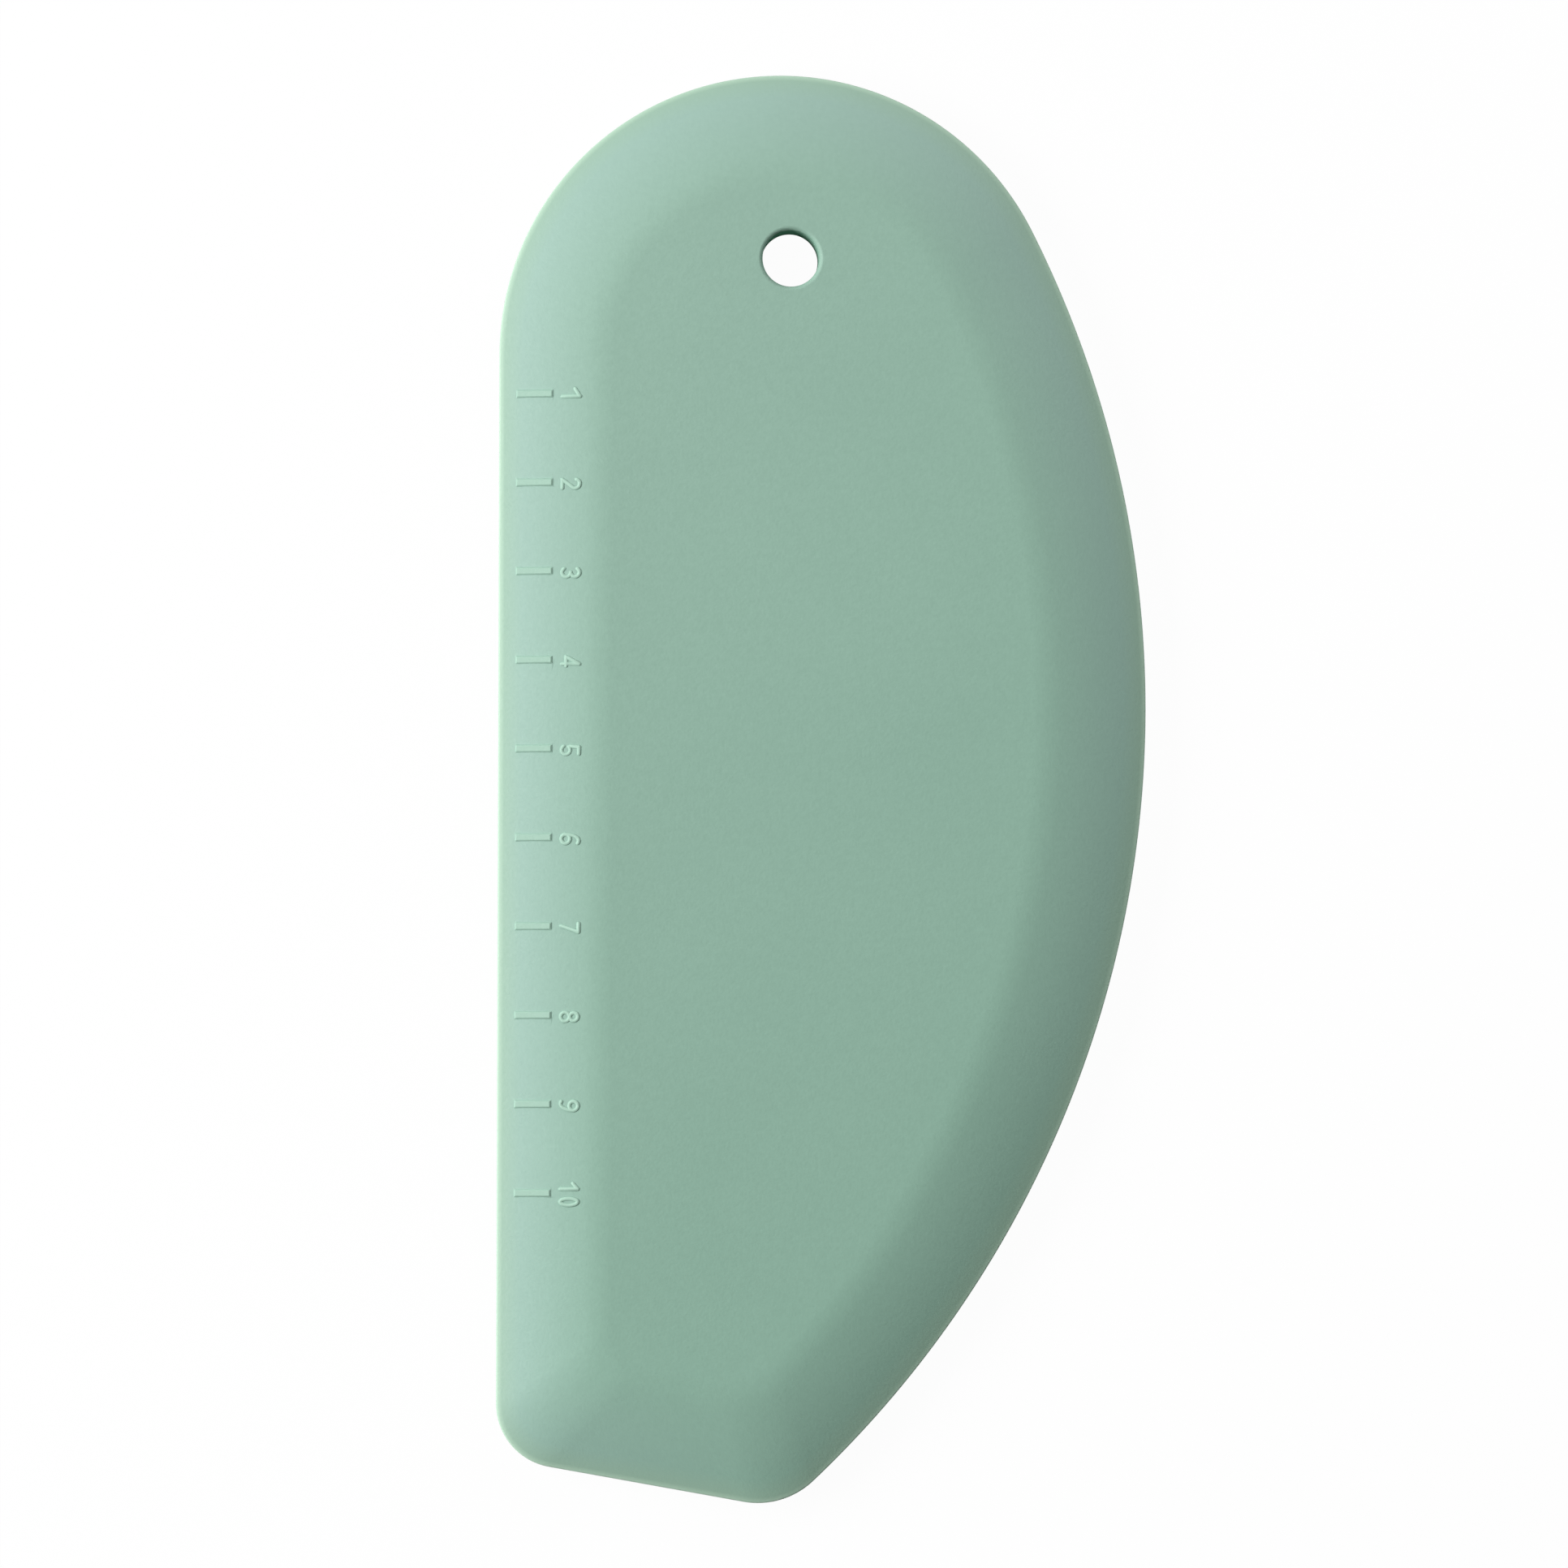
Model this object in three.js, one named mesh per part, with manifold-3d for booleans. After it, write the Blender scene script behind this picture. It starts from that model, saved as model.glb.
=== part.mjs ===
// A dough and bowl scraper: a soft silicone blade moulded around a stiff inner plate.
// The blade lies on its back. X runs from the straight edge to the curved edge,
// Y runs up to the crown with the hanging hole, and Z rises through the thickness from the back face.
// Lengths are in millimetres.
import * as THREE from "three";
import { mergeVertices } from "three/addons/utils/BufferGeometryUtils.js";
import Module from "manifold-3d";

const wasm = await Module();
wasm.setup();

// Outline of the blade, seen from the front
const overallLength = 161;
const overallWidth = 73;
const crownRadius = 31.75;
const noseRadius = 9.1;
const noseReach = 29.4;
const heelRadius = 7.2;
const footSlopeDegrees = 10.1;

// Section through the blade: a flat middle that tapers to a thin rounded edge on both faces
const bladeThickness = 7;
const edgeThickness = 1.6;
const bevelWidth = 11.2;
const creaseTangent = 1.6;
const flatNoseRadius = 8;
const flatHeelRadius = 4.5;

// Hanging hole in the crown, with a rounded rim on both faces
const holeDiameter = 6.4;
const holeRimRadius = 0.4;
const holeDropFromTop = 20.9;
const holeOffsetFromCrown = 1;

// Centimetre scale raised on the straight bevel: bars near the edge, upright numerals beside them
const barPitch = 10;
const firstBarDropFromTop = 36.25;
const lastBarRiseFromHeel = 16;
const barLength = 4.1;
const barWidth = 0.83;
const barMargin = 0.2;
const numeralHeight = 2.5;
const numeralWidth = 1.45;
const numeralStroke = 0.42;
const numeralMargin = 0.65;
const numeralSpacing = 0.35;
const spineBulge = 1.45;
const markHeight = 0.2;
const markRoot = 0.4;

// Lips that flex in use, outside the strips where the silicone bends
const straightLipWidth = 6.2;
const curvedLipWidth = 7.9;

// Stiff inner plate, with holes that the silicone bridges
const plateThickness = 2;
const plateCover = 1.3;
const plateNoseRadius = 6;
const plateHeelRadius = 4;
const bondGap = 0.3;
const holeLinerWall = 2;
const anchorDiameter = 6;
const anchorMargin = 7;
const anchorRows = 5;
const anchorTopDrop = 12;
const anchorBottomRise = 8;

// Facets along each round stretch
const crownSteps = 24;
const sweepSteps = 24;
const noseSteps = 8;
const heelSteps = 6;
const edgeSteps = 3;
const creaseSteps = 3;
const holeSteps = 32;
const rimSteps = 3;
const anchorSteps = 16;
const bowlSteps = 12;

// Places that follow from the sizes above
const leftX = -overallWidth / 2;
const rightX = overallWidth / 2;
const topY = overallLength / 2;
const bottomY = -overallLength / 2;
const midZ = bladeThickness / 2;
const footSlope = THREE.MathUtils.degToRad(footSlopeDegrees);
const footDirection = new THREE.Vector2(Math.cos(footSlope), -Math.sin(footSlope));
const footNormal = new THREE.Vector2(-Math.sin(footSlope), -Math.cos(footSlope));
const crownCentre = new THREE.Vector2(leftX + crownRadius, topY - crownRadius);
const noseCentre = new THREE.Vector2(leftX + noseReach, bottomY + noseRadius);
const footReach = footNormal.dot(noseCentre) + noseRadius;
const { sweepCentre, sweepRadius } = sweepCircle();
const holeCentre = new THREE.Vector2(crownCentre.x + holeOffsetFromCrown, topY - holeDropFromTop);
const webWidth = numeralHeight + 2 * numeralMargin;
const straightWebOuterX = leftX + straightLipWidth;
const straightWebInnerX = straightWebOuterX + webWidth;
const curvedWebOuterX = rightX - curvedLipWidth;
const curvedWebInnerX = curvedWebOuterX - webWidth;
const plateInset = Math.max(straightLipWidth, curvedLipWidth) + webWidth + plateCover;

// Bevel line: from the crease down to a tangent on the rounded edge
const edgeRadius = edgeThickness / 2;
const creaseReach = Math.hypot(bevelWidth - edgeRadius, midZ);
const bevelAngle = Math.atan2(midZ, bevelWidth - edgeRadius) - Math.asin(edgeRadius / creaseReach);
const flatInset = bevelWidth + creaseTangent;

// The circle of the curved edge: it touches the blade's right side, and the crown and the nose from outside.
// Its centre's height solves a quadratic, because both touching circles give the same radius.
function sweepCircle() {
  const crownGap = rightX - crownCentre.x - crownRadius;
  const noseGap = rightX - noseCentre.x - noseRadius;
  const square = 1 / crownGap - 1 / noseGap;
  const linear = crownCentre.y / crownGap - noseCentre.y / noseGap;
  const constant = crownCentre.y ** 2 / crownGap - noseCentre.y ** 2 / noseGap
    + (crownGap + 2 * crownRadius) - (noseGap + 2 * noseRadius);
  const centreY = (linear - Math.sqrt(linear ** 2 - square * constant)) / square;
  const radius = ((centreY - crownCentre.y) ** 2 / crownGap + crownGap) / 2 + crownRadius;
  return { sweepCentre: new THREE.Vector2(rightX - radius, centreY), sweepRadius: radius };
}

// Points along an arc, both ends included; a second radius makes it an arc of an oval
function arcPoints(centre, radius, fromAngle, toAngle, steps, radiusY = radius) {
  const points = [];
  for (let i = 0; i <= steps; i += 1) {
    const angle = fromAngle + (toAngle - fromAngle) * (i / steps);
    points.push(new THREE.Vector2(
      centre.x + radius * Math.cos(angle),
      centre.y + radiusY * Math.sin(angle),
    ));
  }
  return points;
}

// Corner centres of the blade's outline drawn in by an inset, with the corner radii given
function outlineCorners(inset, noseCorner, heelCorner) {
  const nose = footNormal.clone().multiplyScalar(footReach - inset - noseCorner);
  const fromSweep = nose.clone().sub(sweepCentre);
  const along = fromSweep.dot(footDirection);
  const reach = sweepRadius - inset - noseCorner;
  nose.addScaledVector(footDirection, -along + Math.sqrt(along ** 2 - fromSweep.lengthSq() + reach ** 2));
  const heel = new THREE.Vector2(leftX + inset + heelCorner, 0);
  heel.y = (footReach - inset - heelCorner - footNormal.x * heel.x) / footNormal.y;
  return { nose, heel };
}

// The blade's outline drawn in by an inset, anticlockwise from the top of the straight edge
function outlinePoints(inset, noseCorner, heelCorner) {
  const { nose, heel } = outlineCorners(inset, noseCorner, heelCorner);
  const footAngle = Math.atan2(footNormal.y, footNormal.x);
  const noseAngle = Math.atan2(nose.y - sweepCentre.y, nose.x - sweepCentre.x);
  const crownAngle = Math.atan2(crownCentre.y - sweepCentre.y, crownCentre.x - sweepCentre.x);
  return [
    ...arcPoints(heel, heelCorner, -Math.PI, footAngle, heelSteps),
    ...arcPoints(nose, noseCorner, footAngle, noseAngle, noseSteps),
    ...arcPoints(sweepCentre, sweepRadius - inset, noseAngle, crownAngle, sweepSteps).slice(1),
    ...arcPoints(crownCentre, crownRadius - inset, crownAngle, Math.PI, crownSteps).slice(1),
  ];
}

// Half of the blade's section: inset from the edge, and height above the middle plane
function sectionPoints() {
  const edgeEnd = Math.PI / 2 - bevelAngle;
  const edgeCentre = new THREE.Vector2(edgeRadius, 0);
  const edge = arcPoints(edgeCentre, edgeRadius, Math.PI, Math.PI - edgeEnd, edgeSteps);
  const creaseRadius = creaseTangent / Math.tan(bevelAngle / 2);
  const creaseCentre = new THREE.Vector2(flatInset, midZ - creaseRadius);
  const crease = arcPoints(creaseCentre, creaseRadius, Math.PI / 2 + bevelAngle, Math.PI / 2, creaseSteps);
  return [...edge, ...crease];
}

// A closed skin over a stack of rings that hold the same number of points
function stackedRings(rings) {
  const count = rings[0].length;
  const positions = rings.flat().flatMap((point) => [point.x, point.y, point.z]);
  const index = [];
  for (let level = 0; level + 1 < rings.length; level += 1) {
    for (let i = 0; i < count; i += 1) {
      const next = (i + 1) % count;
      const low = level * count;
      const high = low + count;
      index.push(low + i, low + next, high + next);
      index.push(low + i, high + next, high + i);
    }
  }
  const lastRing = (rings.length - 1) * count;
  for (const [a, b, c] of THREE.ShapeUtils.triangulateShape(rings[0], [])) {
    index.push(c, b, a);
  }
  for (const [a, b, c] of THREE.ShapeUtils.triangulateShape(rings.at(-1), [])) {
    index.push(lastRing + a, lastRing + b, lastRing + c);
  }
  const geometry = new THREE.BufferGeometry();
  geometry.setAttribute("position", new THREE.Float32BufferAttribute(positions, 3));
  geometry.setIndex(index);
  return geometry;
}

// A ring of the blade's surface at one inset, at a height above or below the middle plane
function bladeRing(inset, height) {
  const share = inset / flatInset;
  const noseCorner = THREE.MathUtils.lerp(noseRadius, flatNoseRadius, share);
  const heelCorner = THREE.MathUtils.lerp(heelRadius, flatHeelRadius, share);
  return outlinePoints(inset, noseCorner, heelCorner)
    .map((point) => new THREE.Vector3(point.x, point.y, midZ + height));
}

// The whole silicone body as moulded, before it is parted
function bladeBlank() {
  const section = sectionPoints();
  const below = section.slice(1).reverse().map((point) => bladeRing(point.x, -point.y));
  const above = section.map((point) => bladeRing(point.x, point.y));
  return stackedRings([...below, ...above]);
}

// A prism between two heights over a flat shape
function prism(shape, fromZ, toZ) {
  const settings = { depth: toZ - fromZ, bevelEnabled: false, curveSegments: 1 };
  return new THREE.ExtrudeGeometry(shape, settings).translate(0, 0, fromZ);
}

// A block that takes in the whole blade between two X planes and two heights
function slab(fromX, toX, fromZ, toZ) {
  const geometry = new THREE.BoxGeometry(toX - fromX, 2 * overallLength, toZ - fromZ);
  return geometry.translate((fromX + toX) / 2, 0, (fromZ + toZ) / 2);
}

// The space of the hanging hole: a bore that flares at both faces
function holeCutter() {
  const bore = holeDiameter / 2;
  const flareX = bore + holeRimRadius;
  const lowerCentre = new THREE.Vector2(flareX, holeRimRadius);
  const upperCentre = new THREE.Vector2(flareX, bladeThickness - holeRimRadius);
  const lower = arcPoints(lowerCentre, holeRimRadius, -Math.PI / 2, -Math.PI, rimSteps);
  const upper = arcPoints(upperCentre, holeRimRadius, Math.PI, Math.PI / 2, rimSteps);
  const profile = [
    new THREE.Vector2(0, -bladeThickness),
    new THREE.Vector2(flareX, -bladeThickness),
    ...lower,
    ...upper,
    new THREE.Vector2(flareX, 2 * bladeThickness),
    new THREE.Vector2(0, 2 * bladeThickness),
  ];
  const geometry = new THREE.LatheGeometry(profile, holeSteps).rotateX(Math.PI / 2);
  return geometry.translate(holeCentre.x, holeCentre.y, 0);
}

// Centres of the holes that anchor the silicone: a row along each side of the plate
function anchorCentres() {
  const { heel } = outlineCorners(plateInset, plateNoseRadius, plateHeelRadius);
  const highest = crownCentre.y - anchorTopDrop;
  const lowest = heel.y + anchorBottomRise;
  const sideInset = plateInset + anchorMargin;
  const centres = [];
  for (let row = 0; row < anchorRows; row += 1) {
    const y = THREE.MathUtils.lerp(highest, lowest, row / (anchorRows - 1));
    const sweepX = sweepCentre.x + Math.sqrt((sweepRadius - sideInset) ** 2 - (y - sweepCentre.y) ** 2);
    centres.push(new THREE.Vector2(leftX + sideInset, y));
    centres.push(new THREE.Vector2(sweepX, y));
  }
  return centres;
}

// The plate's flat shape, grown all round by a clearance
function plateShape(clearance) {
  const shape = new THREE.Shape(outlinePoints(
    plateInset - clearance, plateNoseRadius + clearance, plateHeelRadius + clearance));
  const linerRadius = holeDiameter / 2 + holeLinerWall + bondGap - clearance;
  shape.holes.push(new THREE.Path(arcPoints(holeCentre, linerRadius, 0, 2 * Math.PI, holeSteps).slice(1)));
  for (const centre of anchorCentres()) {
    const circle = arcPoints(centre, anchorDiameter / 2 - clearance, 0, 2 * Math.PI, anchorSteps);
    shape.holes.push(new THREE.Path(circle.slice(1)));
  }
  return shape;
}

// A closed geometry as a solid that can be joined and cut
function solid(geometry) {
  const bare = geometry.clone();
  bare.deleteAttribute("normal");
  bare.deleteAttribute("uv");
  const merged = mergeVertices(bare);
  return new wasm.Manifold(new wasm.Mesh({
    numProp: 3,
    vertProperties: new Float32Array(merged.attributes.position.array),
    triVerts: new Uint32Array(merged.index.array),
  }));
}

// A solid's surface as a geometry
function surface(body) {
  const mesh = body.getMesh();
  const geometry = new THREE.BufferGeometry();
  geometry.setAttribute("position", new THREE.BufferAttribute(new Float32Array(mesh.vertProperties), 3));
  geometry.setIndex(new THREE.BufferAttribute(new Uint32Array(mesh.triVerts), 1));
  geometry.computeVertexNormals();
  return geometry;
}

// The outline of a stroke of even width along a line of points, with square ends
function strokeShape(points) {
  const leftSide = [];
  const rightSide = [];
  points.forEach((point, i) => {
    const before = points[Math.max(i - 1, 0)];
    const after = points[Math.min(i + 1, points.length - 1)];
    const direction = after.clone().sub(before).normalize();
    const side = new THREE.Vector2(-direction.y, direction.x).multiplyScalar(numeralStroke / 2);
    leftSide.push(point.clone().add(side));
    rightSide.push(point.clone().sub(side));
  });
  return new THREE.Shape([...rightSide, ...leftSide.reverse()]);
}

// A closed oval stroke of even width
function ovalShape(centre, halfWidth, halfHeight) {
  const ring = (grow) => arcPoints(
    centre, halfWidth + grow, 0, 2 * Math.PI, bowlSteps, halfHeight + grow).slice(1);
  const shape = new THREE.Shape(ring(numeralStroke / 2));
  shape.holes.push(new THREE.Path(ring(-numeralStroke / 2)));
  return shape;
}

// The strokes of a digit, drawn upright about its middle
function digitShapes(digit) {
  const half = (numeralWidth - numeralStroke) / 2;
  const top = (numeralHeight - numeralStroke) / 2;
  const at = (x, y) => new THREE.Vector2(x * half, y * top);
  const bowl = (x, y, radius, from, to) => arcPoints(
    at(x, y), radius, THREE.MathUtils.degToRad(from), THREE.MathUtils.degToRad(to), bowlSteps);
  const waist = top - half;
  const spine = half * spineBulge;
  const upturned = (shape) => new THREE.Shape(shape.getPoints(1).map((point) => point.clone().negate()));
  switch (digit) {
    case 0:
      return [ovalShape(at(0, 0), half, top)];
    case 1:
      return [
        strokeShape([at(0.2, -1), at(0.2, 1.15)]),
        strokeShape([at(-0.9, 0.55), at(0.2, 1)]),
      ];
    case 2:
      return [
        strokeShape([...bowl(0, 1 - half / top, half, 165, -40), at(-0.95, -1)]),
        strokeShape([at(-1.2, -1), at(1.2, -1)]),
      ];
    case 3:
      return [
        strokeShape(bowl(0, 1 - half / top, half, 150, -100)),
        strokeShape(bowl(0, half / top - 1, half, 100, -150)),
      ];
    case 4:
      return [
        strokeShape([at(0.45, 1.1), at(-1.1, -0.45)]),
        strokeShape([at(-1.2, -0.45), at(1.3, -0.45)]),
        strokeShape([at(0.45, 1.15), at(0.45, -1.15)]),
      ];
    case 5:
      return [
        strokeShape([at(1, 1), at(-0.85, 1)]),
        strokeShape([at(-0.7, 1.1), at(-0.85, -0.1)]),
        strokeShape(bowl(-0.05, half / top - 1, half * 1.05, 140, -150)),
      ];
    case 6:
      return [
        ovalShape(new THREE.Vector2(0, -waist), half, half),
        strokeShape(arcPoints(
          new THREE.Vector2(spine - half, -waist), spine, Math.PI, Math.PI * 0.38, bowlSteps, top + waist)),
      ];
    case 7:
      return [
        strokeShape([at(-1.2, 1), at(1.1, 1)]),
        strokeShape([at(0.95, 1.05), at(-0.3, -1.15)]),
      ];
    case 8:
      return [
        ovalShape(new THREE.Vector2(0, waist), half * 0.85, half * 0.9),
        ovalShape(new THREE.Vector2(0, -waist), half, half),
      ];
    default:
      return [
        ovalShape(new THREE.Vector2(0, waist), half, half),
        upturned(digitShapes(6)[1]),
      ];
  }
}

// Lays a mark on the straight bevel, standing out of it by the height of the marks.
// In the mark's own frame X climbs the bevel from the straight edge and Y is the blade's own.
function markOnBevel(shape, distance, y) {
  const footprint = prism(shape, -markRoot, markHeight).rotateY(-bevelAngle);
  const height = midZ - (bevelWidth - distance) * Math.tan(bevelAngle);
  return footprint.translate(leftX + distance, y, midZ + height);
}

// Heights of the bars, from the crown down: as many as the straight edge takes
function barHeights() {
  const { heel } = outlineCorners(0, noseRadius, heelRadius);
  const first = topY - firstBarDropFromTop;
  const count = Math.floor((first - heel.y - lastBarRiseFromHeel) / barPitch) + 1;
  return Array.from({ length: count }, (_, i) => first - i * barPitch);
}

// One raised bar for each centimetre
function scaleBars() {
  const halfLength = barLength / 2;
  const halfWidth = barWidth / 2;
  const shape = new THREE.Shape([
    new THREE.Vector2(-halfLength, -halfWidth),
    new THREE.Vector2(halfLength, -halfWidth),
    new THREE.Vector2(halfLength, halfWidth),
    new THREE.Vector2(-halfLength, halfWidth),
  ]);
  const middle = straightLipWidth - barMargin - halfLength;
  return barHeights().map((y) => markOnBevel(shape, middle, y));
}

// Raised numerals, turned so that their tops point away from the straight edge
function scaleNumerals() {
  const middle = straightLipWidth + webWidth / 2;
  const advance = numeralWidth + numeralSpacing;
  return barHeights().flatMap((y, i) => {
    const digits = String(i + 1).split("").map(Number);
    return digits.flatMap((digit, place) => {
      const shift = (place - (digits.length - 1) / 2) * advance;
      return digitShapes(digit).map((shape) => {
        const turned = shape.extractPoints(1);
        const turn = (point) => new THREE.Vector2(point.y, -point.x);
        const laid = new THREE.Shape(turned.shape.map(turn));
        laid.holes = turned.holes.map((hole) => new THREE.Path(hole.map(turn)));
        return markOnBevel(laid, middle, y - shift);
      });
    });
  });
}

// Adds raised marks to a body
function withMarks(body, marks) {
  return marks.reduce((whole, mark) => whole.add(solid(mark)), body);
}

const blank = solid(bladeBlank());
const beyond = overallWidth;
const underside = -bladeThickness;
const overhead = 2 * bladeThickness;

// A strip of the blank between two X planes, through its whole thickness
function strip(fromX, toX) {
  return blank.intersect(solid(slab(fromX, toX, underside, overhead)));
}

// Half of the blade's middle, from the parting plane to one face, pocketed for the plate
function skin(fromZ, toZ) {
  const half = blank.intersect(solid(slab(straightWebInnerX, curvedWebInnerX, fromZ, toZ)));
  const pocket = prism(plateShape(bondGap), midZ - plateThickness / 2, midZ + plateThickness / 2);
  return half.subtract(solid(pocket)).subtract(solid(holeCutter()));
}

// Finishes
function silicone() {
  return new THREE.MeshStandardMaterial({ color: 0x91b4a4, roughness: 0.62, metalness: 0 });
}

function nylon() {
  return new THREE.MeshStandardMaterial({ color: 0xe6e2d6, roughness: 0.5, metalness: 0 });
}

const scraper = new THREE.Group();

// Adds a named piece to the scraper
function addPiece(name, geometry, material) {
  const mesh = new THREE.Mesh(geometry, material);
  mesh.name = name;
  scraper.add(mesh);
}

const plate = prism(plateShape(0), midZ - plateThickness / 2, midZ + plateThickness / 2);
addPiece("core_plate", surface(solid(plate)), nylon());
addPiece("front_skin", surface(skin(midZ, overhead)), silicone());
addPiece("back_skin", surface(skin(underside, midZ)), silicone());
addPiece(
  "straight_lip",
  surface(withMarks(strip(leftX - beyond, straightWebOuterX), scaleBars())),
  silicone(),
);
addPiece(
  "straight_flex_web",
  surface(withMarks(strip(straightWebOuterX, straightWebInnerX), scaleNumerals())),
  silicone(),
);
addPiece("curved_flex_web", surface(strip(curvedWebInnerX, curvedWebOuterX)), silicone());
addPiece("curved_lip", surface(strip(curvedWebOuterX, rightX + beyond)), silicone());

export default scraper;
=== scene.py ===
import math

import bmesh
import bpy
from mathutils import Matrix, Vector, kdtree


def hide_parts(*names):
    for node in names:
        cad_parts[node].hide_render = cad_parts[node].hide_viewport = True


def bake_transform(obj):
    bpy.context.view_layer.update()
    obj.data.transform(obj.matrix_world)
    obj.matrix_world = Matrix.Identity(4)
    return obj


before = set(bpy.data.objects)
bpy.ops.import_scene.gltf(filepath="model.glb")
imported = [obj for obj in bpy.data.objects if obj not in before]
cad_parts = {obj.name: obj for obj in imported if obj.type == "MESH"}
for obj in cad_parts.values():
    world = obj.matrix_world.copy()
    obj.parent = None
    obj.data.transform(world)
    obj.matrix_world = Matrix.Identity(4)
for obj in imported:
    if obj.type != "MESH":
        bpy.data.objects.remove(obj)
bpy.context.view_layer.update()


# The stiffener plate
# A flat plate of natural nylon that keeps the middle of the blade stiff. It is moulded first and laid in
# the second mould, where the silicone flows round it and through its anchor holes, so none of it shows.
MM = 0.001
flow_mark_size = 14 * MM
nylon_grain_size = 0.4 * MM
nylon_grain_depth = 0.01 * MM
nylon_roughness = (0.42, 0.58)


def screen_colour(red, green, blue):
    """The linear colour that a shader takes for a colour as a screen shows it, 0 to 255."""
    shares = [value / 255 for value in (red, green, blue)]
    linear = [share / 12.92 if share <= 0.04045 else ((share + 0.055) / 1.055) ** 2.4
              for share in shares]
    return (*linear, 1)


def new_material(name):
    """A node material, its nodes, its links and its main shader."""
    material = bpy.data.materials.new(name)
    material.use_nodes = True
    nodes = material.node_tree.nodes
    return material, nodes, material.node_tree.links, nodes["Principled BSDF"]


def add_noise(nodes, links, feature, detail):
    """Noise on the piece's own coordinates, with features of about one size and finer ones in them."""
    place = nodes.new("ShaderNodeTexCoord")
    noise = nodes.new("ShaderNodeTexNoise")
    noise.inputs["Scale"].default_value = 1 / feature
    noise.inputs["Detail"].default_value = detail
    links.new(place.outputs["Object"], noise.inputs["Vector"])
    return noise.outputs["Fac"]


def add_colour_mix(nodes, links, factor, first, second):
    """A colour that goes from the first to the second as the factor goes from 0 to 1."""
    mix = nodes.new("ShaderNodeMix")
    mix.data_type = "RGBA"
    links.new(factor, mix.inputs["Factor"])
    first_socket, second_socket, mixed = mix.inputs[6], mix.inputs[7], mix.outputs[2]
    for socket, colour in ((first_socket, first), (second_socket, second)):
        if isinstance(colour, bpy.types.NodeSocket):
            links.new(colour, socket)
        else:
            socket.default_value = colour
    return mixed


def add_range(nodes, links, value, source, target):
    """The value, taken from its source range to a target range."""
    stretch = nodes.new("ShaderNodeMapRange")
    stretch.inputs["From Min"].default_value, stretch.inputs["From Max"].default_value = source
    stretch.inputs["To Min"].default_value, stretch.inputs["To Max"].default_value = target
    links.new(value, stretch.inputs["Value"])
    return stretch.outputs["Result"]


def add_bump(nodes, links, shader, height, depth):
    """Raises the surface by the height's pattern, as deep as given."""
    bump = nodes.new("ShaderNodeBump")
    bump.inputs["Strength"].default_value = 1
    bump.inputs["Distance"].default_value = depth
    links.new(height, bump.inputs["Height"])
    links.new(bump.outputs["Normal"], shader.inputs["Normal"])


nylon_shades = (screen_colour(222, 216, 198), screen_colour(234, 230, 216))
nylon, nodes, links, shader = new_material("natural_nylon")
flow_marks = add_noise(nodes, links, flow_mark_size, detail=3)
links.new(add_colour_mix(nodes, links, flow_marks, *nylon_shades), shader.inputs["Base Color"])
links.new(add_range(nodes, links, flow_marks, (0, 1), nylon_roughness), shader.inputs["Roughness"])
nylon_grain = add_noise(nodes, links, nylon_grain_size, detail=2)
add_bump(nodes, links, shader, nylon_grain, nylon_grain_depth)

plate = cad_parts["core_plate"]
plate.data.materials.clear()
plate.data.materials.append(nylon)


# The silicone blade
# One moulding of sage-green silicone over the plate: a flat middle, and on both faces a long bevel that
# thins to a soft edge all round. The mould parts half way up that edge and leaves a fine line there.
overall_length = 161 * MM
overall_width = 73 * MM
thickness = 7 * MM
crown_radius = 31.75 * MM
nose_radius = 9.1 * MM
nose_reach = 29.4 * MM
heel_radius = 7.2 * MM
foot_slope = math.radians(10.1)
edge_wall = 0.45 * MM
edge_rounding = 0.2 * MM
bevel_width = 11.2 * MM
crease_reach = 1.6 * MM
edge_tilt = math.radians(21)
crease_tilt = math.radians(9.5)
flat_nose_radius = 8 * MM
flat_heel_radius = 4.5 * MM
parting_height = 0.04 * MM
parting_width = 0.12 * MM
merge_distance = 0.001 * MM

# How many steps each stretch of the outline and of the section is drawn in
heel_steps = 24
foot_steps = 20
nose_steps = 32
sweep_steps = 120
crown_steps = 100
straight_steps = 60
rounding_steps = 8
bevel_steps = 18
crease_steps = 12

left_x = -overall_width / 2
right_x = overall_width / 2
middle_z = thickness / 2
flat_inset = bevel_width + crease_reach
crown_centre = Vector((left_x + crown_radius, overall_length / 2 - crown_radius))
nose_centre = Vector((left_x + nose_reach, nose_radius - overall_length / 2))
foot_direction = Vector((math.cos(foot_slope), -math.sin(foot_slope)))
foot_normal = Vector((-math.sin(foot_slope), -math.cos(foot_slope)))
foot_reach = foot_normal.dot(nose_centre) + nose_radius


def sweep_circle():
    """The curved edge's circle, which touches the crown, the nose and the right side."""
    crown_gap = right_x - crown_centre.x - crown_radius
    nose_gap = right_x - nose_centre.x - nose_radius
    square = 1 / crown_gap - 1 / nose_gap
    half_linear = crown_centre.y / crown_gap - nose_centre.y / nose_gap
    constant = crown_centre.y ** 2 / crown_gap - nose_centre.y ** 2 / nose_gap
    constant += crown_gap + 2 * crown_radius - nose_gap - 2 * nose_radius
    centre_y = (half_linear - math.sqrt(half_linear ** 2 - square * constant)) / square
    radius = ((centre_y - crown_centre.y) ** 2 / crown_gap + crown_gap) / 2 + crown_radius
    return Vector((right_x - radius, centre_y)), radius


sweep_centre, sweep_radius = sweep_circle()


def arc_points(centre, radius, start, end, count):
    """Points along an arc, its start among them and its end not."""
    angles = [start + (end - start) * step / count for step in range(count)]
    return [centre + radius * Vector((math.cos(angle), math.sin(angle))) for angle in angles]


def line_points(start, end, count):
    """Points along a line, its start among them and its end not."""
    return [start.lerp(end, step / count) for step in range(count)]


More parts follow.
